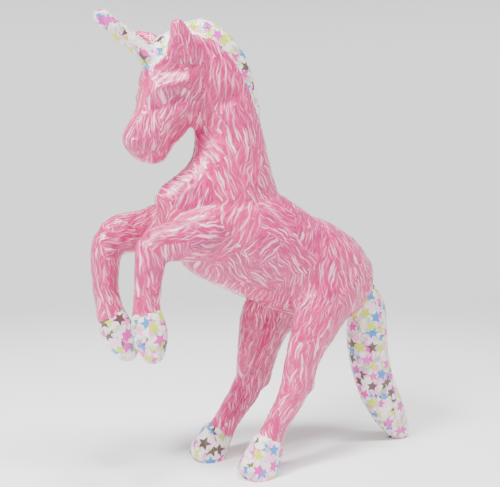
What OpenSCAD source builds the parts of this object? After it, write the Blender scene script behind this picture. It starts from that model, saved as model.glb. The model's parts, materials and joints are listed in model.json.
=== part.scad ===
// Rearing papier-mache unicorn: hollow moulded shells over a cardboard keel, with wire
// cores in the legs and tail. Millimetres, +Z up, facing -Y, its left side at +X.
// It stands on its two hind hooves and the end of its tail.

/* [Overall] */
// Height of the figure, from the ground to the top of the crest
figure_height = 350; // [260:2:480]
// Width of the barrel at its widest
barrel_width = 66; // [56:1:84]
// Sideways distance between the middles of the hind hooves
hind_stance = 54; // [46:1:68]
// Sideways distance between the middles of the front hooves
fore_stance = 48; // [40:1:60]

/* [Papier-mache shell] */
// Wall of the moulded shells
shell_wall = 2.4; // [1.6:0.1:3.6]
// Sides of a section through the barrel, neck or head
body_sides = 24; // [20:4:32]
// Sides of a section through a limb
limb_sides = 16; // [16:4:24]
// Spacing of the sections along a form
section_gap = 12; // [9:1:16]

/* [Legs] */
// Thickness of a foreleg below the knee
fore_cannon = 20; // [16:0.5:25]
// Thickness of a hind leg below the hock
hind_cannon = 22; // [18:0.5:27]

/* [Horn] */
// Length of the horn from the forehead to its tip
horn_length = 50; // [36:1:80]
// Diameter of the horn at its flared foot
horn_foot = 19; // [15:0.5:24]
// Diameter of the horn at its rounded tip
horn_tip = 12; // [9:0.5:15]
// Diameter of the rolled-paper peg inside the horn
peg_d = 6; // [4:0.5:8]

/* [Armature] */
// Diameter of the leg and tail wires
wire_d = 2.5; // [1.6:0.1:3.6]
// Thickness of the cardboard keel and formers
board = 3; // [2:0.25:4.5]
// Gap round the horn peg, and in the slots of the keel and formers
fit_gap = 0.2; // [0.1:0.05:0.5]

/* [Hidden] */

k = figure_height / 353;     // the stations below are for a figure 353 high
wide = barrel_width / 66;    // and a barrel 66 wide
mid_y = -8.15;               // brings the figure's middle over the origin
low_z = -3.3;                // brings its hooves down to the ground
far = 1000;
$fn = 40;
pink = [0.90, 0.52, 0.65];
star_white = [0.94, 0.93, 0.92];
card = [0.72, 0.58, 0.40];
steel = [0.60, 0.61, 0.63];

// A station is [y, z, half depth, half width, e]: a point on a form's middle line, then
// half its section in the mid plane and sideways. For the body e widens its rear or
// underside; for a limb it is how far the middle lies in from the foot's own plane.
function extra(s) = len(s) > 4 ? s[4] : 0;
function place(x, y, z) = [x, (y + mid_y) * k, (z + low_z) * k];
function body(list) =
  [for (s = list) concat(place(0, s[0], s[1]), [s[2] * k, s[3] * wide, extra(s)])];
function limb(x, list, slim = 1) =
  [for (s = list) concat(place(x - sign(x) * extra(s), s[0], s[1]),
                         [s[2] * k * slim, s[3] * slim, 0])];

torso_line = body([
  [-62, 204, 28, 21], [-46, 197, 38, 27], [-23, 189, 41.5, 31], [0, 181, 44, 33],
  [26, 167.5, 42, 32], [50, 158.5, 42.5, 33], [70, 151, 38.5, 31], [82, 145, 32, 26]]);

neck_line = body([
  [-37, 202, 56, 24], [-31, 220, 49.5, 23.5], [-27.5, 238, 38, 21.5], [-27, 256, 31, 19.5],
  [-30, 274, 28.5, 18], [-34, 292, 27.5, 17], [-42, 312, 25, 17], [-52, 328, 21, 15]]);

head_line = body([
  [-62, 327, 20, 16], [-70, 312, 27, 19.5, 0.05], [-75, 296, 28, 19.5, 0.12],
  [-83, 281, 21.5, 17, 0.12], [-91.5, 268, 18.5, 15, 0.05], [-97, 258.5, 18.5, 14.5]]);

mane_line = body([
  [-66, 345, 7, 9], [-54, 346.5, 9, 10], [-41, 342, 9.5, 10.5], [-29, 332.5, 9.5, 10.5],
  [-20.5, 320, 9, 10], [-13.5, 305, 7.5, 9], [-8, 290, 6, 7.5]]);

forelock_line = body([[-90, 325, 8, 9], [-81, 334, 7.5, 9.5], [-71, 340, 7, 9.5], [-63, 343, 6, 9]]);

tail_line = body([
  [90, 143, 12, 12], [98, 137, 14, 14], [103.5, 127, 16, 15], [105, 114, 18, 15], [105, 100, 19, 15],
  [107, 83, 19, 14.5], [111.5, 65, 18.5, 13.5], [119, 46, 17.5, 12.5], [130, 28, 15.5, 11.5], [138.5, 14, 12, 9.5]]);

ear_left_line = limb(14, [
  [-71, 325, 12, 8.5], [-73, 333, 10.5, 7.5, -1], [-76, 340.5, 8, 6.5, -3], [-79, 346, 5, 5, -5]]);
ear_right_line = limb(-14, [
  [-74, 325, 11, 8], [-79, 333, 9.5, 7, -2], [-86, 340, 6.5, 5.5, -6], [-93, 344, 4, 4, -10]]);

fore_x = fore_stance / 2;
hind_x = hind_stance / 2;
fore_slim = fore_cannon / 20;
hind_slim = hind_cannon / 22;

forearm_left_line = limb(fore_x, [
  [-36, 194, 26, 9, 8], [-50, 193, 22, 13, 4], [-64, 191, 18.5, 14, 1], [-78, 189, 16, 13.5],
  [-92, 188, 14, 12.5], [-97, 187, 13, 12]]);
forearm_right_line = limb(-fore_x, [
  [-40, 198, 26, 9, 8], [-56, 199, 22, 13, 4], [-74, 198, 19, 14, 1], [-92, 194, 16.5, 13.5],
  [-110, 192, 15.5, 12.5], [-115, 190, 14, 12]]);
fore_cannon_left_line = limb(fore_x, [
  [-101, 183, 12.5, 11.5], [-103, 172, 11.5, 10.5], [-104.5, 158, 10, 10],
  [-105.5, 144, 10, 9.5], [-105.5, 134, 11, 10.5], [-104.5, 127, 11, 10.5]], fore_slim);
fore_cannon_right_line = limb(-fore_x, [
  [-119, 186, 12.5, 11.5], [-121.5, 172, 11.5, 10.5], [-121.5, 156, 10, 10],
  [-120, 140, 10, 9.5], [-117.5, 128, 11, 10.5], [-115.5, 121, 11, 10.5]], fore_slim);
fore_hoof_left_line = limb(fore_x, [
  [-105.5, 137, 11.5, 11], [-104, 127, 13, 12.5], [-102.5, 117, 13, 12.5],
  [-101, 109, 9.5, 10]], fore_slim);
fore_hoof_right_line = limb(-fore_x, [
  [-118, 130, 11.5, 11], [-114, 120, 13, 12.5], [-109, 109, 12.5, 12],
  [-105, 101, 9, 9.5]], fore_slim);

haunch_left_line = limb(hind_x, [
  [58, 160, 34, 8, 8], [49, 142, 29, 13, 4], [37.5, 121, 21, 15, 1], [27, 102, 16, 13.5],
  [21.5, 86, 13.5, 12.5], [19, 72, 13.5, 12]]);
haunch_right_line = limb(-hind_x, [
  [52, 160, 34, 8, 8], [38, 140, 31, 13, 4], [21, 118, 26, 15, 1], [14, 100, 21, 13.5],
  [10, 82, 18, 12.5], [7, 66, 16, 12]]);
hind_cannon_left_line = limb(hind_x, [
  [18.5, 74, 12.5, 11.5], [13, 62, 11, 10.5], [5, 50, 9.5, 10], [-2, 38, 9.5, 10],
  [-8, 26, 11, 11]], hind_slim);
hind_cannon_right_line = limb(-hind_x, [
  [6, 68, 14, 11.5], [-2, 54, 12.5, 11], [-11, 42, 11, 10.5], [-20, 30, 11, 10.5],
  [-27, 20, 12, 11.5]], hind_slim);
hind_hoof_left_line = limb(hind_x, [
  [-7, 30, 13, 12.5], [-11.5, 19, 14.5, 13.5], [-16, 10, 15.5, 14], [-20, 3.3, 15.5, 14]], hind_slim);
hind_hoof_right_line = limb(-hind_x, [
  [-26, 25, 13, 12.5], [-31, 16, 14.5, 13.5], [-34.5, 9, 15.5, 14], [-36.5, 3.3, 15.5, 14]], hind_slim);

// Straight-line helpers
function point(s) = [s[0], s[1], s[2]];
function unit(v) = v / norm(v);

// A smooth curve through stations b and c, with a and d beyond them
function between(a, b, c, d, t) =
  0.5 * (2 * b + (c - a) * t + (2 * a - 5 * b + 4 * c - d) * t * t
         + (3 * b - a - 3 * c + d) * t * t * t);

// The station at u along a line, where u counts stations from 0
function at(line, u) =
  let (last = len(line) - 1, i = max(0, min(floor(u), last - 1)), b = line[i], c = line[i + 1])
  between(i > 0 ? line[i - 1] : 2 * b - c, b, c,
          i + 2 <= last ? line[i + 2] : 2 * c - b, u - i);
function heading(line, u) = unit(point(at(line, u + 0.02)) - point(at(line, u - 0.02)));
function parts_of(line, i) = max(1, ceil(norm(point(line[i + 1]) - point(line[i])) / section_gap));
function stops(line) = concat(
  [for (i = [0 : len(line) - 2]) for (j = [0 : parts_of(line, i) - 1]) i + j / parts_of(line, i)],
  [len(line) - 1]);

// One section of a form, moved by `reach` along the line and scaled by `grow`
function ring(line, u, reach, grow, sides) =
  let (s = at(line, u), t = heading(line, u), n = unit(cross([1, 0, 0], t)), w = cross(t, n))
  [for (i = [0 : sides - 1]) let (a = 360 * i / sides)
    point(s) + reach * t + grow * (s[3] * cos(a) * n + s[4] * sin(a) * (1 - s[5] * cos(a)) * w)];

// The same line with its sections smaller by `t`
function thinner(line, t) = [for (s = line) [s[0], s[1], s[2], s[3] - t, s[4] - t, s[5]]];

// A closed form along a line, rounded at both ends
module loft(line, foot, tip, sides) {
  last = len(line) - 1;
  rings = concat(
    [for (e = [72, 48, 24]) ring(line, 0, -foot * sin(e), cos(e), sides)],
    [for (u = stops(line)) ring(line, u, 0, 1, sides)],
    [for (e = [24, 48, 72]) ring(line, last, tip * sin(e), cos(e), sides)]);
  ends = [point(line[0]) - foot * heading(line, 0), point(line[last]) + tip * heading(line, last)];
  points = concat([ends[0]], [for (r = rings) each r], [ends[1]]);
  n = sides;
  top = len(points) - 1;
  faces = concat(
    [for (i = [0 : n - 1]) [0, 1 + i, 1 + (i + 1) % n]],
    [for (r = [0 : len(rings) - 2]) for (i = [0 : n - 1])
      let (a = 1 + r * n + i, b = 1 + r * n + (i + 1) % n) each [[a, a + n, b + n], [a, b + n, b]]],
    [for (i = [0 : n - 1]) [top, top - n + (i + 1) % n, top - n + i]]);
  polyhedron(points, faces);
}

// Makes one mesh of what it holds
module one_mesh() { resize([0, 0, 0]) children(); }

module left_half() { translate([0, -far, -far]) cube([far, 2 * far, 2 * far]); }
module right_half() { translate([-far, -far, -far]) cube([far, 2 * far, 2 * far]); }

// Outer forms
module torso_form(t = 0) { loft(thinner(torso_line, t), 26 * k - t, 20 * k - t, body_sides); }
module neck_form(t = 0) { loft(thinner(neck_line, t), 20 * k, 20 * k - t, body_sides); }
module head_form(t = 0) { loft(thinner(head_line, t), 22 * k - t, 12 * k - t, body_sides); }
module mane_form() { loft(mane_line, 8 * k, 9 * k, limb_sides); }
module forelock_form() { loft(forelock_line, 6 * k, 6 * k, limb_sides); }
module ear_form(left) { loft(left ? ear_left_line : ear_right_line, 5 * k, 3 * k, limb_sides); }
module tail_form() { loft(tail_line, 8 * k, 15 * k, limb_sides); }
module forearm_form(left) {
  loft(left ? forearm_left_line : forearm_right_line, 10 * k, 12 * k, limb_sides);
}
module fore_cannon_form(left) {
  loft(left ? fore_cannon_left_line : fore_cannon_right_line, 11 * k, 8 * k, limb_sides);
}
module fore_hoof_form(left) {
  loft(left ? fore_hoof_left_line : fore_hoof_right_line, 3 * k, 9 * k, limb_sides);
}
module haunch_form(left) {
  loft(left ? haunch_left_line : haunch_right_line, 22 * k, 10 * k, limb_sides);
}
module hind_cannon_form(left) {
  loft(left ? hind_cannon_left_line : hind_cannon_right_line, 10 * k, 8 * k, limb_sides);
}
module hind_hoof_form(left) {
  loft(left ? hind_hoof_left_line : hind_hoof_right_line, 3 * k, 4 * k, limb_sides);
}

// The hollow inside the body
module cavity() {
  torso_form(shell_wall);
  neck_form(shell_wall);
  head_form(shell_wall);
}

// Wires, from the foot or the tail's end to inside the barrel
foreleg_x = fore_x - 6;
foreleg_left_path = [
  place(fore_x, -101.5, 116), place(fore_x, -104.5, 138), place(fore_x, -103, 168),
  place(fore_x, -96, 187), place(fore_x, -76, 190), place(foreleg_x, -58, 192),
  place(foreleg_x, -26, 192)];
foreleg_right_path = [
  place(-fore_x, -109, 109), place(-fore_x, -119, 134), place(-fore_x, -121, 168),
  place(-fore_x, -113, 190), place(-fore_x, -92, 194), place(-foreleg_x, -62, 197),
  place(-foreleg_x, -26, 197)];
hindleg_x = hind_x - 6;
hindleg_left_path = [
  place(hind_x, -14, 12), place(hind_x, -4, 34), place(hind_x, 14, 64), place(hind_x, 22, 88),
  place(hind_x, 36, 118), place(hindleg_x, 50, 148), place(hindleg_x, 76, 148)];
hindleg_right_path = [
  place(-hind_x, -34, 12), place(-hind_x, -20, 30), place(-hind_x, 1, 58), place(-hind_x, 11, 86),
  place(-hind_x, 21, 116), place(-hindleg_x, 38, 148), place(-hindleg_x, 76, 148)];
tail_wire_z = 139;
tail_path = [
  place(0, 136, 18), place(0, 120, 46), place(0, 108, 80), place(0, 105, 108), place(0, 104, 124),
  place(0, 96, tail_wire_z), place(0, 78, tail_wire_z)];
module wire_form(path) {
  loft([for (p = path) concat(p, [wire_d / 2, wire_d / 2, 0])], wire_d / 2, wire_d / 2, 8);
}
module all_wires() {
  for (path = [foreleg_left_path, foreleg_right_path, hindleg_left_path, hindleg_right_path, tail_path])
    wire_form(path);
}

// The horn's own frame: Z runs along it, 0 at the forehead
horn_foot_at = place(0, -92.5, 324);
horn_lean = 55.2;
peg_in = 14;
peg_out = horn_length * 0.5;
module along_horn() { translate(horn_foot_at) rotate([horn_lean, 0, 0]) children(); }
horn_r = horn_tip / 2;
foot_r = horn_foot / 2;
horn_profile = concat(
  [[0, -12], [foot_r + 1, -12], [foot_r, -2], [foot_r * 0.86, 3], [(foot_r + horn_r) * 0.44, 9],
   [horn_r + 0.3, 18]],
  [for (a = [0 : 15 : 90]) [horn_r * cos(a), horn_length - horn_r + horn_r * sin(a)]]);
module horn_form() { along_horn() rotate_extrude($fn = 24) polygon(horn_profile); }
module peg_bore(gap) {
  along_horn() translate([0, 0, -peg_in])
    cylinder(h = peg_in + peg_out, d = peg_d + 2 * gap, $fn = 24);
}

// Stations of the two formers, and the height where each locks into the keel
shoulder_at = place(0, -42, 194);
hip_at = place(0, 62, 152);

module shells(form_left) {
  one_mesh() intersection() {
    children();
    if (form_left) left_half(); else right_half();
  }
}

// Moulded shells of the body, each glued to its mirror half at the mid plane
module torso_shell() { difference() { torso_form(); cavity(); all_wires(); } }
module torso_shell_left() { color(pink) shells(true) torso_shell(); }
module torso_shell_right() { color(pink) shells(false) torso_shell(); }

module neck_shell() { difference() { neck_form(); torso_form(); cavity(); } }
module neck_shell_left() { color(pink) shells(true) neck_shell(); }
module neck_shell_right() { color(pink) shells(false) neck_shell(); }

module head_shell() { difference() { head_form(); neck_form(); cavity(); peg_bore(fit_gap); } }
module head_shell_left() { color(pink) shells(true) head_shell(); }
module head_shell_right() { color(pink) shells(false) head_shell(); }

// Pieces pressed on to the head and crest
module ear(left) {
  color(pink) one_mesh() difference() { ear_form(left); head_form(); neck_form(); }
}
module ear_left() { ear(true); }
module ear_right() { ear(false); }

module horn() {
  color(star_white) one_mesh() difference() { horn_form(); head_form(); peg_bore(fit_gap); }
}
module horn_peg() { color(card) peg_bore(0); }

module mane_crest() {
  color(star_white) one_mesh() difference() {
    mane_form();
    neck_form();
    head_form();
    ear_form(true);
    ear_form(false);
  }
}
module forelock() {
  color(star_white) one_mesh() difference() {
    forelock_form();
    head_form();
    neck_form();
    mane_form();
    horn_form();
    ear_form(true);
    ear_form(false);
  }
}

module below_ground() { translate([-far, -far, -far]) cube([2 * far, 2 * far, far]); }

module tail() {
  color(star_white) one_mesh() difference() {
    tail_form();
    torso_form();
    haunch_form(true);
    haunch_form(false);
    wire_form(tail_path);
    below_ground();
  }
}

// Forelegs
module foreleg_core(left) { wire_form(left ? foreleg_left_path : foreleg_right_path); }
module forearm(left) {
  color(pink) one_mesh() difference() {
    forearm_form(left);
    torso_form();
    neck_form();
    foreleg_core(left);
  }
}
module forearm_left() { forearm(true); }
module forearm_right() { forearm(false); }

module fore_cannon(left) {
  color(pink) one_mesh() difference() {
    fore_cannon_form(left);
    forearm_form(left);
    foreleg_core(left);
  }
}
module fore_cannon_left() { fore_cannon(true); }
module fore_cannon_right() { fore_cannon(false); }

module fore_hoof(left) {
  color(star_white) one_mesh() difference() {
    fore_hoof_form(left);
    fore_cannon_form(left);
    foreleg_core(left);
  }
}
module fore_hoof_left() { fore_hoof(true); }
module fore_hoof_right() { fore_hoof(false); }

// Hind legs
module hindleg_core(left) { wire_form(left ? hindleg_left_path : hindleg_right_path); }
module haunch(left) {
  color(pink) one_mesh() difference() {
    haunch_form(left);
    torso_form();
    hindleg_core(left);
  }
}
module haunch_left() { haunch(true); }
module haunch_right() { haunch(false); }

module hind_cannon_side(left) {
  color(pink) one_mesh() difference() {
    hind_cannon_form(left);
    haunch_form(left);
    hindleg_core(left);
  }
}
module hind_cannon_left() { hind_cannon_side(true); }
module hind_cannon_right() { hind_cannon_side(false); }

module hind_hoof(left) {
  color(star_white) one_mesh() difference() {
    hind_hoof_form(left);
    hind_cannon_form(left);
    hindleg_core(left);
    below_ground();
  }
}
module hind_hoof_left() { hind_hoof(true); }
module hind_hoof_right() { hind_hoof(false); }

// Cardboard keel in the mid plane, notched for the two formers, the peg and the tail wire
module former_slot(p) {
  translate([-far, p[1] - fit_gap, -far]) cube([2 * far, board + 2 * fit_gap, far + p[2]]);
}
module keel_board() {
  color(card) one_mesh() difference() {
    intersection() {
      cavity();
      translate([-board / 2, -far, 0]) cube([board, 2 * far, far]);
    }
    former_slot(shoulder_at);
    former_slot(hip_at);
    along_horn() translate([-far, -peg_d / 2 - fit_gap, -peg_in])
      cube([2 * far, peg_d + 2 * fit_gap, far]);
    translate([-far, tail_path[6][1] - wire_d / 2 - fit_gap, tail_path[6][2] - wire_d / 2 - fit_gap])
      cube([2 * far, far, 2 * wire_d + fit_gap]);
    translate([-far, tail_path[5][1] - 2 * wire_d, -far])
      cube([2 * far, far, far + tail_path[6][2]]);
  }
}

module former(p) {
  color(card) one_mesh() difference() {
    intersection() {
      torso_form(shell_wall);
      translate([-far, p[1], -far]) cube([2 * far, board, 2 * far]);
    }
    translate([-board / 2 - fit_gap, -far, p[2]]) cube([board + 2 * fit_gap, 2 * far, far]);
    all_wires();
  }
}
module shoulder_former() { former(shoulder_at); }
module hip_former() { former(hip_at); }

// Wire cores
module wire(path) { color(steel) wire_form(path); }
module foreleg_wire_left() { wire(foreleg_left_path); }
module foreleg_wire_right() { wire(foreleg_right_path); }
module hindleg_wire_left() { wire(hindleg_left_path); }
module hindleg_wire_right() { wire(hindleg_right_path); }
module tail_wire() { wire(tail_path); }

torso_shell_left();
torso_shell_right();
neck_shell_left();
neck_shell_right();
head_shell_left();
head_shell_right();
ear_left();
ear_right();
horn();
horn_peg();
mane_crest();
forelock();
tail();
forearm_left();
forearm_right();
fore_cannon_left();
fore_cannon_right();
fore_hoof_left();
fore_hoof_right();
haunch_left();
haunch_right();
hind_cannon_left();
hind_cannon_right();
hind_hoof_left();
hind_hoof_right();
keel_board();
shoulder_former();
hip_former();
foreleg_wire_left();
foreleg_wire_right();
hindleg_wire_left();
hindleg_wire_right();
tail_wire();
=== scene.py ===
import json
import math

import bpy
import numpy as np
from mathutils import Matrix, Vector, noise
from mathutils.kdtree import KDTree


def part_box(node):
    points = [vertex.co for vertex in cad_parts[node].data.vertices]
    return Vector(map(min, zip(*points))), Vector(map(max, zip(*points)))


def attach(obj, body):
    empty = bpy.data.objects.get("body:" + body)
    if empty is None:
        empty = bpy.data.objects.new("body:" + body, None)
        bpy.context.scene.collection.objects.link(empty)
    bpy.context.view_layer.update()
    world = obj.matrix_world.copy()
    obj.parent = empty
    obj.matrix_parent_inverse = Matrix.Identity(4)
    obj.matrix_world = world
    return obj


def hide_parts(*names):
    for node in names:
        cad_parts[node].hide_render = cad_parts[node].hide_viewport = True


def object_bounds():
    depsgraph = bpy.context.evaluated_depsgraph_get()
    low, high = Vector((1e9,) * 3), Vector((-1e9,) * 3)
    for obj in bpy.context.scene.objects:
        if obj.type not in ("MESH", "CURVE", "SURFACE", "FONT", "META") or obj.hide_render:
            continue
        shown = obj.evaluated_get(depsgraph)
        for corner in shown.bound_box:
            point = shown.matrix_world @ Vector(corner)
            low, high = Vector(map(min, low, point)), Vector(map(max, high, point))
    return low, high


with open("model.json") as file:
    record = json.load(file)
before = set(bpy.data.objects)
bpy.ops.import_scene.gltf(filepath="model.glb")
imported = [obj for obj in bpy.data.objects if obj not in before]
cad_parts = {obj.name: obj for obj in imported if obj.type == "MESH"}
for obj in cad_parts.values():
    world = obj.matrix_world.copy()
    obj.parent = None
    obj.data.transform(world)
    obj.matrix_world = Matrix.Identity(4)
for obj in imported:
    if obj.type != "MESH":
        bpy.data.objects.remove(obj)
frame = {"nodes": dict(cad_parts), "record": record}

mm = 0.001
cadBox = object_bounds()
cadLow, cadHigh = cadBox
middle = (cadLow + cadHigh) / 2

# The covered nodes, by the paper that covers them
bodyNodes = ("torso_shell", "neck_shell", "head_shell")
pinkLimbs = ("ear", "forearm", "fore_cannon", "haunch", "hind_cannon")
starLimbs = ("fore_hoof", "hind_hoof")
starNodes = ("horn", "mane_crest", "forelock", "tail")


def camel(*words):
    words = "_".join(words).split("_")
    return words[0] + "".join(w.capitalize() for w in words[1:])


def coverings():
    # Each covering's name, the nodes it stands for, and its paper.
    made = []
    for node in bodyNodes:
        made.append((camel(node.replace("_shell", ""), "paper"), (node + "_left", node + "_right"), "pink"))
    for node in pinkLimbs:
        made += [(camel(node, side, "paper"), (node + "_" + side,), "pink") for side in ("left", "right")]
    for node in starNodes:
        made.append((camel(node, "paper"), (node,), "star"))
    for node in starLimbs:
        made += [(camel(node, side, "paper"), (node + "_" + side,), "star") for side in ("left", "right")]
    return made


covers = coverings()

# Sums on meshes: points is an (n, 3) array and quads an (m, 4) one


def nodeGeometry(name):
    mesh = frame["nodes"][name].data
    mesh.calc_loop_triangles()
    points = np.empty(len(mesh.vertices) * 3)
    mesh.vertices.foreach_get("co", points)
    triangles = np.empty(len(mesh.loop_triangles) * 3, np.int32)
    mesh.loop_triangles.foreach_get("vertices", triangles)
    return points.reshape(-1, 3), triangles.reshape(-1, 3)


def unit(vectors):
    return vectors / np.maximum(np.linalg.norm(vectors, axis=-1, keepdims=True), 1e-12)


def quadNormals(points, quads):
    a, b, c, d = (points[quads[:, i]] for i in range(4))
    return np.cross(c - a, d - b)


def spreadToPoints(values, quads, count):
    # Sums each quad's value on to its corners.
    return np.stack([sum(np.bincount(quads[:, i], values[:, k], count) for i in range(4))
                     for k in range(values.shape[1])], 1)


def pointNormals(points, quads):
    return unit(spreadToPoints(quadNormals(points, quads), quads, len(points)))


def edgesOf(quads):
    pairs = np.concatenate([quads[:, [i, (i + 1) % 4]] for i in range(4)])
    return np.unique(np.sort(pairs, 1), axis=0)


class Web:
    # The neighbours of each point.
    def __init__(self, quads, count):
        self.a, self.b = edgesOf(quads).T
        self.count = count
        links = np.bincount(self.a, minlength=count) + np.bincount(self.b, minlength=count)
        self.share = 1 / np.maximum(links, 1)

    def mean(self, values):
        columns = [np.bincount(self.a, values[self.b, k], self.count)
                   + np.bincount(self.b, values[self.a, k], self.count) for k in range(values.shape[1])]
        return np.stack(columns, 1) * self.share[:, None]

    def soften(self, values, passes):
        for _ in range(passes):
            values = (values + self.mean(values)) / 2
        return values


def outermost(points, quads):
    # Drops the inner walls that the hollow shells leave.
    a, b = edgesOf(quads).T
    label = np.arange(len(points))
    while True:
        low = np.minimum(label[a], label[b])
        new = label.copy()
        np.minimum.at(new, a, low)
        np.minimum.at(new, b, low)
        new = new[new]
        if (new == label).all():
            break
        label = new
    names, counts = np.unique(label, return_counts=True)
    spans = [np.ptp(points[label == n], axis=0).sum() if c > 2000 else 0 for n, c in zip(names, counts)]
    keep = label == names[int(np.argmax(spans))]
    renumber = np.cumsum(keep) - 1
    return points[keep], renumber[quads[keep[quads[:, 0]]]]


# The figure's outer skin, in one piece

skinLook = dict(
    grain=1.15 * mm,      # edge length of the skin's mesh
    bodyPasses=90,        # smoothing of the barrel, neck and head
    pulls=(0.5, -0.51),   # each pass pulls in and then out again, so nothing shrinks
    fillPasses=30,        # how far the creases between limbs are papered over
    ridge=0.12,           # how much of a ridge is worn down while a crease fills
    blend=12,             # passes that blend one part's firmness into the next
    sample=1.6 * mm,      # spacing of the spots that tell which node is nearest
    lump=0.55 * mm,       # height of the hand-laid lumps
    lumpSize=17 * mm,
    ply=0.2 * mm,         # how proud one torn patch stands of the next
    wrinkle=0.32 * mm,    # height of the dried paper's wrinkles
    wrinkleSize=6.5 * mm,
    wall=1.3 * mm,
)
smoothness = dict(torso_shell=1, neck_shell=1, head_shell=0.55, haunch=0.7, forearm=0.6, tail=0.6,
                  fore_cannon=0.35, hind_cannon=0.35, mane_crest=0.3, forelock=0.2, ear=0.08,
                  horn=0.12, fore_hoof=0.12, hind_hoof=0.12)


def joinedSkin():
    points, faces, start = [], [], 0
    for _, nodes, _ in covers:
        for node in nodes:
            p, t = nodeGeometry(node)
            points.append(p)
            faces.append(t + start)
            start += len(p)
    mesh = bpy.data.meshes.new("rawSkin")
    mesh.from_pydata(np.concatenate(points).tolist(), [], np.concatenate(faces).tolist())
    raw = bpy.data.objects.new("rawSkin", mesh)
    bpy.context.collection.objects.link(raw)
    voxels = raw.modifiers.new("voxels", "REMESH")
    voxels.mode = "VOXEL"
    voxels.voxel_size = skinLook["grain"]
    done = bpy.data.meshes.new_from_object(raw.evaluated_get(bpy.context.evaluated_depsgraph_get()))
    points = np.empty(len(done.vertices) * 3)
    done.vertices.foreach_get("co", points)
    quads = np.empty(len(done.loops), np.int32)
    done.loops.foreach_get("vertex_index", quads)
    bpy.data.objects.remove(raw)
    bpy.data.meshes.remove(mesh)
    bpy.data.meshes.remove(done)
    return outermost(points.reshape(-1, 3), quads.reshape(-1, 4))


overlap = dict(maneCrestPaper=4.5 * mm, hornPaper=4 * mm)


def treeOf(spots):
    tree = KDTree(len(spots))
    for i, spot in enumerate(spots.tolist()):
        tree.insert(spot, i)
    tree.balance()
    return tree


def nearestCover(points):
    # The number of the covering whose CAD surface lies nearest to each point.
    draw = np.random.default_rng(5)
    spots, labels = [], []
    for number, (_, nodes, _) in enumerate(covers):
        for node in nodes:
            p, t = nodeGeometry(node)
            a, b, c = p[t[:, 0]], p[t[:, 1]], p[t[:, 2]]
            area = np.linalg.norm(np.cross(b - a, c - a), axis=1) / 2
            count = int(area.sum() / skinLook["sample"] ** 2)
            pick = draw.choice(len(t), count, p=area / area.sum())
            u, v = draw.random((2, count))
            over = u + v > 1
            u[over], v[over] = 1 - u[over], 1 - v[over]
            spots.append(a[pick] + u[:, None] * (b - a)[pick] + v[:, None] * (c - a)[pick])
            labels += [number] * count
    spots, labels = np.concatenate(spots), np.array(labels)
    tree = treeOf(spots)
    cover = np.array([labels[tree.find(p)[1]] for p in points.tolist()])
    # some star paper runs on over the pink paper round it
    for number, (name, _, _) in enumerate(covers):
        if name in overlap:
            tree = treeOf(spots[labels == number])
            away = np.array([tree.find(p)[2] for p in points.tolist()])
            cover[away < overlap[name]] = number
    return cover


def papered(points, quads, web, firmness):
    # Rounds off the sections' edges without shrinking, then fills the creases.
    for _ in range(skinLook["bodyPasses"]):
        for pull in skinLook["pulls"]:
            points = points + pull * firmness[:, None] * (web.mean(points) - points)
    for _ in range(skinLook["fillPasses"]):
        normals = pointNormals(points, quads)
        lean = web.mean(points) - points
        out = (lean * normals).sum(1, keepdims=True)
        filled = np.where(out > 0, out, skinLook["ridge"] * out)
        points = points + 0.5 * (lean - out * normals) + 0.5 * filled * normals
    return points


print("joining the nodes into one skin")
points, quads = joinedSkin()
onGround = points[:, 2] < cadLow.z + 0.9 * mm
web = Web(quads, len(points))
cover = nearestCover(points)
firm = np.array([smoothness[next(k for k in smoothness if nodes[0].startswith(k))] for _, nodes, _ in covers])
firm = web.soften(firm[cover][:, None], skinLook["blend"])[:, 0]
print("skin of", len(points), "points and", len(quads), "faces")
points = papered(points, quads, web, firm)

# Relief modelled on both sides of the head: a bent line of places measured across, back and
# up from the front lower corner of the head's box, then its reach and its height, all in mm
headRelief = dict(
    brow=(((12, 15, 50), (17, 26, 55), (20, 41, 60)), 4.5, 3.0),
    eyeHollow=(((17, 27, 68), (19, 37, 69)), 7, -2.6),
    underBrow=(((15, 22, 41), (19, 34, 47)), 6, -2.4),
    cheek=(((18, 40, 36), (18, 48, 28)), 10, 1.4),
    noseEdge=(((10, 11, 44), (9, 6, 30)), 4.5, 1.2),
    nostril=(((9, 6, 21),), 3, -0.8),
    mouth=(((11, 12, 9), (12, 21, 8)), 2.6, -0.7),
    jowl=(((7, 55, 27), (16, 69, 45), (15, 85, 53)), 4.5, -1.8),
    throat=(((13, 63, 24),), 8, -2.2),
)


def awayFrom(points, path):
    # Distance from each point to a bent line.
    ends = np.array(path * 2 if len(path) == 1 else path, float) * mm
    best = np.full(len(points), np.inf)
    for a, b in zip(ends[:-1], ends[1:]):
        along = b - a
        share = np.clip((points - a) @ along / max(along @ along, 1e-12), 0, 1)
        best = np.minimum(best, np.linalg.norm(points - a - share[:, None] * along, axis=1))
    return best


def modelledHead(points):
    low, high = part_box("head_shell_left")
    normals = pointNormals(points, quads)
    height = np.zeros(len(points))
    for path, reach, rise in headRelief.values():
        for side in (-1, 1):
            place = (points - np.array((0, low.y, low.z))) * (side, 1, 1)
            height += rise * mm * np.exp(-(awayFrom(place, path) / (reach * mm)) ** 2)
    return points + height[:, None] * normals


def lumpy(points):
    # Hand-laid paper: broad soft lumps.
    normals = pointNormals(points, quads)
    lump, grain = skinLook["lump"], 1 / skinLook["lumpSize"]
    height = [noise.noise(Vector(p) * grain) + 0.5 * noise.noise(Vector(p) * grain * 2.3)
              for p in points.tolist()]
    return points + (lump * np.array(height))[:, None] * normals


points = modelledHead(points)
points = lumpy(points)
print("modelled the head and the lumps")

# Torn patches of paper

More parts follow.
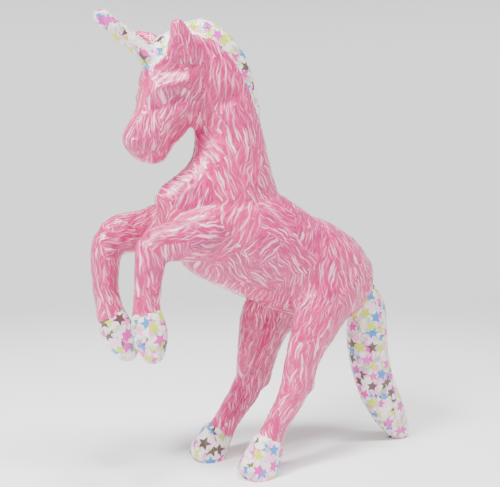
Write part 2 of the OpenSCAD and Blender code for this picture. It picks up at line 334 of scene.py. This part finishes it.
patchLook = dict(
    pink=dict(reach=25 * mm, bend=24 * mm),
    star=dict(reach=19 * mm, bend=22 * mm),
    tear=((3.4 * mm, 9 * mm), (1.6 * mm, 3 * mm)),      # how ragged a torn edge is, and over what length
    # the way the strokes mostly run on each part, and how far a patch may be turned from it
    flow=dict(forearm=((0, -1, -0.15), 0.5), fore_cannon=((0, 0.1, -1), 0.45), haunch=((0, -0.45, -1), 0.6),
              hind_cannon=((0, -0.6, -1), 0.45), head_shell=((0, -0.35, -1), 0.9),
              torso_shell=((0, 0.15, -1), 1.15), neck_shell=((0, 0.3, -1), 0.9), ear=((0, -0.2, -1), 0.5)),
    anyway=((0, 0, -1), 3.1),      # the same for parts whose patches are turned every way
    mapUnit=10 * mm,      # one unit of the paper's own map
    mapStep=20,           # spacing of the patches on that map, in units
    mapRow=24,            # patches in a row of it
    # where two coverings meet: passes that smooth the line, how ragged it is, and over what length
    seamPasses=14, seamRag=0.35, seamLength=5 * mm,
)


def tornPatches(centres, normals, look, seed):
    # Sets patches over the faces, each new one where the paper is thinnest.
    draw = np.random.default_rng(seed)
    ragged = centres.copy()
    for depth, length in patchLook["tear"]:
        ragged += depth * np.array([noise.noise_vector(Vector(c) / length) for c in centres.tolist()])
    best = np.full(len(centres), np.inf)
    owner = np.zeros(len(centres), int)
    seeds, pick = [], int(draw.integers(len(centres)))
    while True:
        weight = draw.uniform(0.75, 1.3)
        away = ((ragged - ragged[pick]) ** 2).sum(1)
        away = away + look["bend"] ** 2 * 2 * (1 - normals @ normals[pick])
        away = away * weight
        closer = away < best
        best[closer], owner[closer] = away[closer], len(seeds)
        seeds.append(pick)
        pick = int(np.argmax(best))
        if best[pick] < look["reach"] ** 2:
            return owner, np.array(seeds)


def flowOf(number):
    # The way strokes run on a covering, and how far a patch may turn from it.
    node = covers[number][1][0]
    ways = (way for name, way in patchLook["flow"].items() if node.startswith(name))
    return next(ways, patchLook["anyway"])


def paperMap(faces, owner, seeds, normals, seed, first):
    # Each patch gets its own flat map, turned and set apart from the others.
    draw = np.random.default_rng(seed)
    places = np.zeros((len(faces), 4, 2))
    centres = points[quads[faces]].mean(1)
    for number, spot in enumerate(seeds):
        mine = owner == number
        if not mine.any():
            continue
        normal = unit(normals[mine].mean(0))
        flow, most = flowOf(faceCover[faces[spot]])
        along = unit(np.array(flow) - (np.array(flow) @ normal) * normal)
        across = np.cross(normal, along)
        turn = draw.uniform(-most, most)
        u = along * math.cos(turn) + across * math.sin(turn)
        v = np.cross(normal, u)
        away = points[quads[faces[mine]]] - centres[mine].mean(0)
        row, column = divmod(number + first, patchLook["mapRow"])
        flat = np.stack([away @ u, away @ v], -1) / patchLook["mapUnit"]
        places[mine] = flat + (np.array((row, column)) + 0.5) * patchLook["mapStep"]
    return places


def softLabels(points, cover):
    # Coverings meet along smooth but torn lines.
    share = np.zeros((len(points), len(covers)))
    share[np.arange(len(points)), cover] = 1
    share = web.soften(share, patchLook["seamPasses"])
    star = np.array([paper == "star" for _, _, paper in covers])
    rag = np.array([noise.noise(Vector(p) / patchLook["seamLength"]) for p in points.tolist()])
    share[:, star] *= (1 + patchLook["seamRag"] * rag)[:, None]
    return share


share = softLabels(points, cover)
faceCover = np.argmax(share[quads].sum(1), 1)
faceNormals = unit(quadNormals(points, quads))
faceCentres = points[quads].mean(1)
isStar = np.array([paper == "star" for _, _, paper in covers])[faceCover]
mapPlaces = np.zeros((len(quads), 4, 2))
patchOf = np.zeros(len(quads), int)
first = 0
for paper, chosen in (("pink", ~isStar), ("star", isStar)):
    faces = np.flatnonzero(chosen)
    look = patchLook[paper]
    owner, seeds = tornPatches(faceCentres[faces], faceNormals[faces], look, 11 + first)
    mapPlaces[faces] = paperMap(faces, owner, seeds, faceNormals[faces], 3 + first, first)
    patchOf[faces] = owner + first
    first += len(seeds)
    print(len(seeds), "patches of", paper, "paper")

# Each patch lies a ply above or below its neighbours, with wrinkles of its own
plies = np.random.default_rng(8).uniform(-1, 1, first)


def creaseAt(place):
    # 1 on the sharp crest of a wrinkle, falling to 0 beside it.
    return max(0, 1 - 5 * abs(noise.noise(place)))


def wrinkled(points):
    owner = np.zeros(len(points), int)
    owner[quads.ravel()] = np.repeat(patchOf, 4)
    shift = owner[:, None] * np.array((0.31, 0.17, 0.23))      # so that wrinkles stop at a patch's edge
    places = (points / skinLook["wrinkleSize"] + shift).tolist()
    crease = [creaseAt(Vector(p)) + 0.5 * creaseAt(Vector(p) * 2.1) for p in places]
    share = spreadToPoints(np.ones((len(quads), 1)), quads, len(points))
    lift = skinLook["ply"] * spreadToPoints(plies[patchOf][:, None], quads, len(points)) / share
    lift = lift + skinLook["wrinkle"] * (np.array(crease)[:, None] - 0.3)
    return points + lift * pointNormals(points, quads)


points = wrinkled(points)
points[:, 2] = np.maximum(points[:, 2], cadLow.z)
points[onGround, 2] = cadLow.z
skinNormals = pointNormals(points, quads)


class Wire:
    # A socket that takes part in sums.
    def __init__(self, paint, socket):
        self.paint, self.socket = paint, socket

    def __add__(self, other): return self.paint.maths("ADD", self, other)
    def __radd__(self, other): return self.paint.maths("ADD", other, self)
    def __sub__(self, other): return self.paint.maths("SUBTRACT", self, other)
    def __rsub__(self, other): return self.paint.maths("SUBTRACT", other, self)
    def __mul__(self, other): return self.paint.maths("MULTIPLY", self, other)
    def __rmul__(self, other): return self.paint.maths("MULTIPLY", other, self)
    def __truediv__(self, other): return self.paint.maths("DIVIDE", self, other)
    def __abs__(self): return self.paint.maths("ABSOLUTE", self)
    def floor(self): return self.paint.maths("FLOOR", self)

    def step(self, low, high):
        # 0 at low and 1 at high, with an easy slope between.
        ends = {"From Min": low, "From Max": high, "Value": self}
        return self.paint.node("ShaderNodeMapRange", dict(interpolation_type="SMOOTHSTEP"), ends)[0]


class Paint:
    # One material and its nodes, or the nodes of another tree.
    def __init__(self, name, tree=None):
        if tree is None:
            self.material = bpy.data.materials.new(name)
            self.material.use_nodes = True
            tree = self.material.node_tree
        self.tree = tree
        self.tree.nodes.clear()

    def node(self, kind, settings=None, sockets=None):
        made = self.tree.nodes.new(kind)
        for name, value in (settings or {}).items():
            if name == "stops":
                while len(made.color_ramp.elements) < len(value):
                    made.color_ramp.elements.new(1.0)
                made.color_ramp.interpolation = "CONSTANT"
                for element, (place, colour) in zip(made.color_ramp.elements, value):
                    element.position, element.color = place, colour
            else:
                setattr(made, name, value)
        for name, value in (sockets or {}).items():
            if isinstance(value, Wire):
                self.tree.links.new(value.socket, made.inputs[name])
            else:
                made.inputs[name].default_value = value
        return [Wire(self, socket) for socket in made.outputs]

    def maths(self, operation, *values):
        vectors = any(isinstance(v, Wire) and v.socket.type in ("VECTOR", "RGBA") for v in values)
        kind = "ShaderNodeVectorMath" if vectors else "ShaderNodeMath"
        return self.node(kind, dict(operation=operation), dict(enumerate(values)))[0]

    def mix(self, share, first, second):
        return self.node("ShaderNodeMix", dict(data_type="RGBA"), {0: share, 6: first, 7: second})[2]

    def vector(self, x, y, z=0.0):
        return self.node("ShaderNodeCombineXYZ", None, {0: x, 1: y, 2: z})[0]

    def parts(self, vector):
        return self.node("ShaderNodeSeparateXYZ", None, {0: vector})

    def noise(self, vector, scale, detail=2.0, rough=0.5, flat=False):
        return self.node("ShaderNodeTexNoise", dict(noise_dimensions="2D" if flat else "3D"),
                         {"Vector": vector, "Scale": scale, "Detail": detail, "Roughness": rough})

    def cells(self, x, y, randomness):
        # The nearest spot of a scattered grid: three random numbers for it, and where it is.
        _, randoms, spot, *_ = self.node("ShaderNodeTexVoronoi", dict(voronoi_dimensions="2D"),
                                         {"Vector": self.vector(x, y), "Scale": 1.0, "Randomness": randomness})
        return self.parts(randoms), self.parts(spot)

    def bump(self, strength, distance, height):
        sockets = {"Strength": strength, "Distance": distance, "Height": height}
        return self.node("ShaderNodeBump", None, sockets)[0]

    def paperAt(self):
        # Where a point lies on the paper's own map.
        mapAt = self.node("ShaderNodeUVMap", dict(uv_map="paperMap"))[0]
        return mapAt, self.parts(mapAt)[:2]

    def swayed(self, mapAt, x, y, scale, detail, sway):
        # Bends the print a little, as paper stretches when wet.
        swayX, swayY, _ = self.parts(self.noise(mapAt, scale, detail, flat=True)[1])
        return x + (swayX - 0.5) * sway, y + (swayY - 0.5) * sway

    def finish(self, sockets):
        shader = self.node("ShaderNodeBsdfPrincipled", None, sockets)[0]
        self.node("ShaderNodeOutputMaterial", None, {0: shader})
        return self.material


def rgb(red, green, blue):
    # A screen colour, 0 to 255, as a light value.
    light = [c / 255 / 12.92 if c <= 10 else ((c / 255 + 0.055) / 1.055) ** 2.4 for c in (red, green, blue)]
    return (*light, 1.0)


varnishLook = dict(
    roughness=0.09, roughening=0.25,      # at its smoothest, and how much the broad wrinkles add
    coat=0.12, coatRoughness=0.05, ior=1.5, specular=0.5,
    crinkle=0.45, depth=1.8 * mm,         # how strongly the wrinkles show, and how deep they are
    # how many of each wrinkle there are to a metre
    broad=190, fine=520, grain=1700,
)


def varnished(paint, colour):
    # Fine wrinkles of wet paper under brushed varnish.
    place = paint.node("ShaderNodeTexCoord")[3]
    broad = abs(paint.noise(place, varnishLook["broad"], 2.0)[0] - 0.5)
    fine = abs(paint.noise(place, varnishLook["fine"], 2.0, 0.6)[0] - 0.5)
    grain = paint.noise(place, varnishLook["grain"], 1.0)[0]
    height = broad * 1.2 + fine * 0.7 + grain * 0.1
    normal = paint.bump(varnishLook["crinkle"], varnishLook["depth"], height)
    rough = varnishLook["roughness"] + broad * varnishLook["roughening"]
    return paint.finish({"Base Color": colour, "Roughness": rough, "Normal": normal,
                         "Coat Weight": varnishLook["coat"], "Coat Roughness": varnishLook["coatRoughness"],
                         "IOR": varnishLook["ior"], "Specular IOR Level": varnishLook["specular"]})


def turned(x, y, angle):
    c, s = math.cos(angle), math.sin(angle)
    return x * c + y * s, y * c - x * s


pinkLook = dict(
    deep=rgb(156, 14, 92), warm=rgb(182, 22, 92), mid=rgb(224, 60, 132), pale=rgb(250, 192, 208),
    sway=0.5,
    scale=(0.65, 0.55),       # smallest size of the print on a patch, and how much it varies
    cloud=0.2, tone=0.2,      # how far soft clouds, and whole patches, lean towards the middle pink
    # strokes of the print: spacing along and across, length, half width, lean, bend, seed, how strong
    faint=((1.7, 0.42, 1.35, 0.11, 0.45, 0.10, 3.7, 0.7), (1.1, 0.30, 0.9, 0.07, -0.5, 0.06, 9.1, 0.55)),
    strong=((1.7, 0.46, 1.6, 0.066, 0.0, 0.12, 0.0, 0.95), (1.2, 0.38, 1.0, 0.042, 0.14, -0.10, 17.3, 0.7),
            (0.8, 0.22, 0.7, 0.022, -0.12, 0.06, 29.9, 0.4)),
    tilt=0.16,                # how far single strokes turn from their neighbours
    edge=(-0.018, 0.022),     # how soft a stroke's edge is
)


def brushed(paint, x, y, layer):
    # Tapering strokes, one to a cell of a long thin grid.
    gapAlong, gapAcross, length, half, lean, bend, seed, strength = layer
    u, v = turned(x, y, lean)
    u, v = u / gapAlong, v / gapAcross + seed
    (tilt, grow, bow), (spotU, spotV, _) = paint.cells(u, v, 1.0)
    along = (u - spotU) * (2 * gapAlong / length)
    slant = (tilt - 0.5) * pinkLook["tilt"] * along
    off = (v - spotV) * gapAcross + slant + (bow - 0.3) * bend * along * along
    width = half * (grow * 1.1 + 0.3) * (1 - along * along)
    ink = (bow * 0.9 + 0.35) * strength
    return (width - abs(off)).step(*pinkLook["edge"]) * paint.maths("MINIMUM", ink, 1.0)


def pinkPaper():
    paint = Paint("pinkPaper")
    mapAt, (x, y) = paint.paperAt()
    step = patchLook["mapStep"]
    patchTone, patchWarmth, patchScale = paint.parts(paint.node(
        "ShaderNodeTexWhiteNoise", dict(noise_dimensions="2D"),
        {"Vector": paint.vector((x / step).floor(), (y / step).floor())})[1])
    x, y = paint.swayed(mapAt, x, y, 0.75, 1.0, pinkLook["sway"])
    least, varied = pinkLook["scale"]
    scale = patchScale * varied + least
    x, y = x * scale, y * scale
    tone = paint.noise(mapAt, 0.4, 2.0, flat=True)[0].step(0.35, 0.65)
    colour = paint.mix(patchWarmth * 0.7 + tone * 0.3, pinkLook["deep"], pinkLook["warm"])
    cloud = paint.noise(mapAt, 1.3, 3.0, 0.6, flat=True)[0].step(0.42, 0.75)
    colour = paint.mix(patchTone * pinkLook["tone"] + cloud * pinkLook["cloud"], colour, pinkLook["mid"])
    fade = (paint.noise(mapAt, 0.6, 2.0, flat=True)[0].step(0.3, 0.6) * 0.5 + 0.4) * (patchTone * 0.35 + 0.75)
    for strokes, ink in (("faint", "mid"), ("strong", "pale")):
        for layer in pinkLook[strokes]:
            colour = paint.mix(brushed(paint, x, y, layer) * fade, colour, pinkLook[ink])
    return varnished(paint, colour)


starLook = dict(
    ground=rgb(230, 225, 219), shade=rgb(166, 158, 150), sway=0.16,
    notch=0.46,               # how far out the notches between the points lie
    edge=(0.016, -0.012),     # how soft a star's edge is
    cover=0.95,               # how much of the ground an ink hides
    # printings of stars: spacing, size, seed and colours
    prints=(
        (1.30, 0.60, 31.7, ((240, 150, 214), (246, 190, 230), (240, 130, 208), (232, 206, 226))),
        (1.40, 0.61, 5.3, ((200, 0, 150), (0, 116, 190), (184, 202, 0), (66, 44, 22), (0, 122, 190))),
        (1.45, 0.58, 0.0, ((0, 120, 196), (184, 202, 0), (204, 0, 150), (70, 48, 26), (216, 40, 176),
                           (190, 208, 0))),
    ),
)


def starPrint(paint, x, y, gap, size, seed):
    # Five-pointed stars, one to a cell: where the ink lies, and a random number for each star.
    u, v = x / gap + seed, y / gap
    (chance, turn, grow), (spotU, spotV, _) = paint.cells(u, v, 0.7)
    across, up = (u - spotU) * gap, (v - spotV) * gap
    radius = paint.maths("SQRT", across * across + up * up)
    fifth = 2 * math.pi / 5
    angle = paint.maths("ARCTAN2", up, across) + turn * 6.28 + 20
    fold = fifth / 2 - abs(paint.maths("FLOORED_MODULO", angle, fifth) - fifth / 2)
    tip = size * (grow * 0.2 + 0.85)
    along = radius * paint.maths("COSINE", fold) / tip
    off = radius * paint.maths("SINE", fold) / tip
    endAlong, endOff = starLook["notch"] * math.cos(fifth / 2), starLook["notch"] * math.sin(fifth / 2)
    side = (along - 1) * endOff + off * (1 - endAlong)      # below 0 inside the line from a point to a notch
    return side.step(*starLook["edge"]), chance


def starPaper():
    paint = Paint("starPaper")
    mapAt, (x, y) = paint.paperAt()
    x, y = paint.swayed(mapAt, x, y, 1.6, 2.0, starLook["sway"])
    tone = paint.noise(mapAt, 1.1, 3.0, flat=True)[0].step(0.4, 0.72)
    colour = paint.mix(tone, starLook["ground"], starLook["shade"])
    for gap, size, seed, inks in starLook["prints"]:
        ink, chance = starPrint(paint, x, y, gap, size, seed)
        stops = [(i / len(inks), rgb(*c)) for i, c in enumerate(inks)]
        tint = paint.node("ShaderNodeValToRGB", dict(stops=stops), {0: chance})[0]
        colour = paint.mix(ink * starLook["cover"], colour, tint)
    return varnished(paint, colour)


innerLook = dict(
    card=rgb(150, 112, 72), cardPale=rgb(196, 158, 112),
    steel=rgb(150, 152, 156), steelPale=rgb(190, 192, 196),
    flute=1400, fibre=600, scratch=500,      # flutes, fibres and scratches to a metre
    drawn=6,                                 # how much longer than wide a scratch is
    relief=0.3 * mm,
)


def cardboard():
    paint = Paint("keelCard")
    place = paint.node("ShaderNodeTexCoord")[3]
    _, y, _ = paint.parts(place)
    flute = paint.maths("SINE", y * innerLook["flute"]) * 0.5 + 0.5
    fibre = paint.noise(place, innerLook["fibre"], 3.0)[0]
    colour = paint.mix(fibre * 0.7 + flute * 0.2, innerLook["card"], innerLook["cardPale"])
    return paint.finish({"Base Color": colour, "Roughness": fibre * 0.2 + 0.75,
                         "Normal": paint.bump(0.3, innerLook["relief"], flute * 0.5 + fibre)})


def drawnWire():
    paint = Paint("steelWire")
    x, y, z = paint.parts(paint.node("ShaderNodeTexCoord")[3])
    drawn = paint.vector(x * innerLook["drawn"], y * innerLook["drawn"], z)
    scratch = paint.noise(drawn, innerLook["scratch"], 2.0)[0]
    colour = paint.mix(scratch, innerLook["steel"], innerLook["steelPale"])
    return paint.finish({"Base Color": colour, "Roughness": scratch * 0.25 + 0.3, "Metallic": 1.0})


print("making the papers")
papers = {"pink": pinkPaper(), "star": starPaper()}
innerFinish = {"keel_card": cardboard(), "rolled_paper": cardboard(), "steel_wire": drawnWire()}
slotOf = {s["node"]: s["material_slot"] for s in frame["record"]["subparts"]}
for node, thing in frame["nodes"].items():
    if slotOf[node] in innerFinish:
        thing.data.materials.clear()
        thing.data.materials.append(innerFinish[slotOf[node]])

# Cutting the skin into its coverings


def covering(name, chosen):
    # One covering as a closed sheet of paper, its outer face towards the air.
    faces = quads[chosen]
    used, flat = np.unique(faces, return_inverse=True)
    outer = flat.reshape(-1, 4)
    count = len(used)
    top = points[used]
    under = top - skinLook["wall"] * skinNormals[used]
    directed = np.concatenate([outer[:, [i, (i + 1) % 4]] for i in range(4)])
    key, back = directed[:, 0] * count + directed[:, 1], directed[:, 1] * count + directed[:, 0]
    rim = directed[~np.isin(key, back)]
    walls = np.stack([rim[:, 1], rim[:, 0], rim[:, 0] + count, rim[:, 1] + count], 1)
    every = np.concatenate([outer, outer[:, ::-1] + count, walls])
    verts = np.concatenate([top, under])
    mesh = bpy.data.meshes.new(name)
    mesh.from_pydata(verts.tolist(), [], every.tolist())
    places = mapPlaces[chosen]
    rimPlaces = np.zeros((len(walls), 4, 2))
    layer = mesh.uv_layers.new(name="paperMap")
    flatMap = np.concatenate([places, places[:, ::-1], rimPlaces]).astype(np.float32)
    layer.uv.foreach_set("vector", flatMap.ravel())
    mesh.shade_smooth()
    wallNormals = unit(quadNormals(verts, walls))[:, None].repeat(4, 1) if len(walls) else np.zeros((0, 4, 3))
    loops = np.concatenate([skinNormals[used][outer], -skinNormals[used][outer[:, ::-1]], wallNormals])
    mesh.normals_split_custom_set(loops.reshape(-1, 3).tolist())
    made = bpy.data.objects.new(name, mesh)
    bpy.context.collection.objects.link(made)
    return made


for number, (name, nodes, paper) in enumerate(covers):
    piece = covering(name, faceCover == number)
    piece.data.materials.append(papers[paper])
    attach(piece, "root")
    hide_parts(*nodes)
    paper + "_paper"
print("cut", len(covers), "coverings")

stageLook = dict(
    floor=rgb(250, 250, 250), floorReach=1.3,
    horizon=1.55, zenith=0.5,      # brightness of the white room
    # each light: azimuth, height angle, distance, width, watts
    lights=((20, 48, 1.1, 0.26, 24.0), (60, 74, 1.2, 0.26, 14.0), (118, 68, 1.2, 0.26, 12.0),
            (250, 40, 1.3, 0.6, 3.0)),
)
cameraLook = dict(azimuth=63.0, down=3.9, distance=0.615, lens=55.0, aim=(-0.0075, -0.0140, 0.0031))


def direction(azimuth, height):
    a, e = math.radians(azimuth), math.radians(height)
    return Vector((math.sin(a) * math.cos(e), -math.cos(a) * math.cos(e), math.sin(e)))


def floor():
    # A pale sheet whose edge fades out into the white room.
    reach = stageLook["floorReach"]
    mesh = bpy.data.meshes.new("studioFloor")
    corners = [(-reach, -reach, 0), (reach, -reach, 0), (reach, reach, 0), (-reach, reach, 0)]
    mesh.from_pydata(corners, [], [(0, 1, 2, 3)])
    made = bpy.data.objects.new("studioFloor", mesh)
    bpy.context.collection.objects.link(made)
    made.location.z = cadLow.z - 0.02 * mm
    paint = Paint("studioFloor")
    x, y, _ = paint.parts(paint.node("ShaderNodeTexCoord")[3])
    away = paint.maths("SQRT", x * x + y * y)
    mesh.materials.append(paint.finish({"Base Color": stageLook["floor"], "Roughness": 0.7,
                                        "Alpha": away.step(reach * 0.96, reach * 0.35)}))


def studioLights():
    for number, (azimuth, height, distance, width, power) in enumerate(stageLook["lights"]):
        light = bpy.data.lights.new("softbox%d" % number, "AREA")
        light.shape, light.size, light.energy = "DISK", width, power
        made = bpy.data.objects.new(light.name, light)
        bpy.context.collection.objects.link(made)
        made.location = middle + direction(azimuth, height) * distance
        made.rotation_mode = "QUATERNION"
        made.rotation_quaternion = direction(azimuth, height).to_track_quat("Z", "Y")
    world = bpy.data.worlds.new("studio")
    world.use_nodes = True
    room = Paint("studioRoom", world.node_tree)
    height = room.parts(room.node("ShaderNodeTexCoord")[0])[2]
    bright = height.step(0.45, 0.15) * (stageLook["horizon"] - stageLook["zenith"]) + stageLook["zenith"]
    background = room.node("ShaderNodeBackground", None, {"Color": (1, 1, 1, 1), "Strength": bright})[0]
    room.node("ShaderNodeOutputWorld", None, {0: background})
    bpy.context.scene.world = world


def studioCamera():
    data = bpy.data.cameras.new("studioCamera")
    data.lens, data.sensor_width = cameraLook["lens"], 36
    made = bpy.data.objects.new("studioCamera", data)
    bpy.context.collection.objects.link(made)
    back = direction(cameraLook["azimuth"], cameraLook["down"])
    made.location = middle + Vector(cameraLook["aim"]) + back * cameraLook["distance"]
    made.rotation_mode = "QUATERNION"
    made.rotation_quaternion = back.to_track_quat("Z", "Y")
    bpy.context.scene.camera = made


floor()
studioLights()
studioCamera()
print("set the stage")
